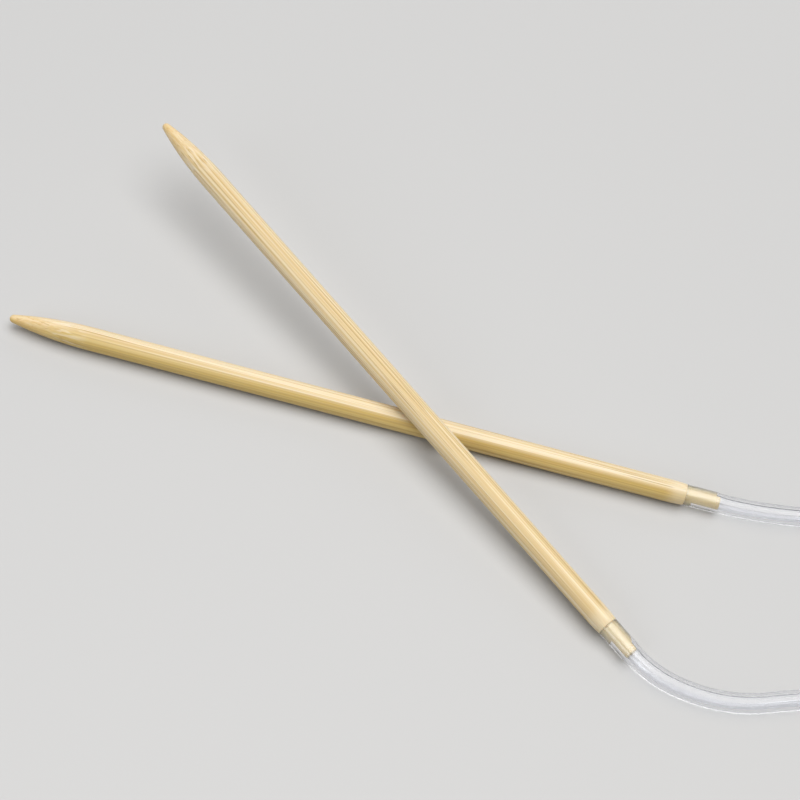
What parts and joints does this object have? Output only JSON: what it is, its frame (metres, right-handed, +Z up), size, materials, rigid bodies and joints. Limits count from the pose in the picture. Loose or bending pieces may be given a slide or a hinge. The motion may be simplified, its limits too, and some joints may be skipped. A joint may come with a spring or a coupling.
{
  "type": "circular knitting needle",
  "caption": "Circular knitting needle: bamboo points crossed on a table, joined at their butts by a clear hollow cord that closes in one loop.",
  "frame": {"origin": "on the table, under the middle of the box round the two crossed needles, without the cord", "axes": "+X along the lower needle from its point to its butt, towards the cord's loop; +Z up from the table; +Y towards the upper needle's point"},
  "size_m": [0.1859, 0.0792, 0.0124],
  "materials": {
    "bamboo": "pale bamboo, sanded and waxed to a soft sheen",
    "glue": "thin set film of clear yellowish glue",
    "clear_cord": "clear soft plastic tube, smooth and glossy"
  },
  "bodies": {
    "lower_tip": {"needle_lower": "bamboo", "glue_lower": "glue"},
    "cord_loop": {"cord": "clear_cord"},
    "upper_tip": {"needle_upper": "bamboo", "glue_upper": "glue"}
  },
  "joints": [
    {"name": "lower_cord_flex", "type": "hinge", "parent": "lower_tip", "child": "cord_loop", "pos_m": [0.0775, -0.0026, 0.0018], "axis": [0, 0, 1], "range_deg": [0, 50], "stiffness_Nm_per_rad": 0.0018, "deforming": ["cord"]},
    {"name": "upper_cord_flex", "type": "hinge", "parent": "cord_loop", "child": "upper_tip", "pos_m": [0.063, -0.0404, 0.0018], "axis": [0, -0.1224, 0.9925], "range_deg": [-40, 20], "stiffness_Nm_per_rad": 0.0024}
  ]
}
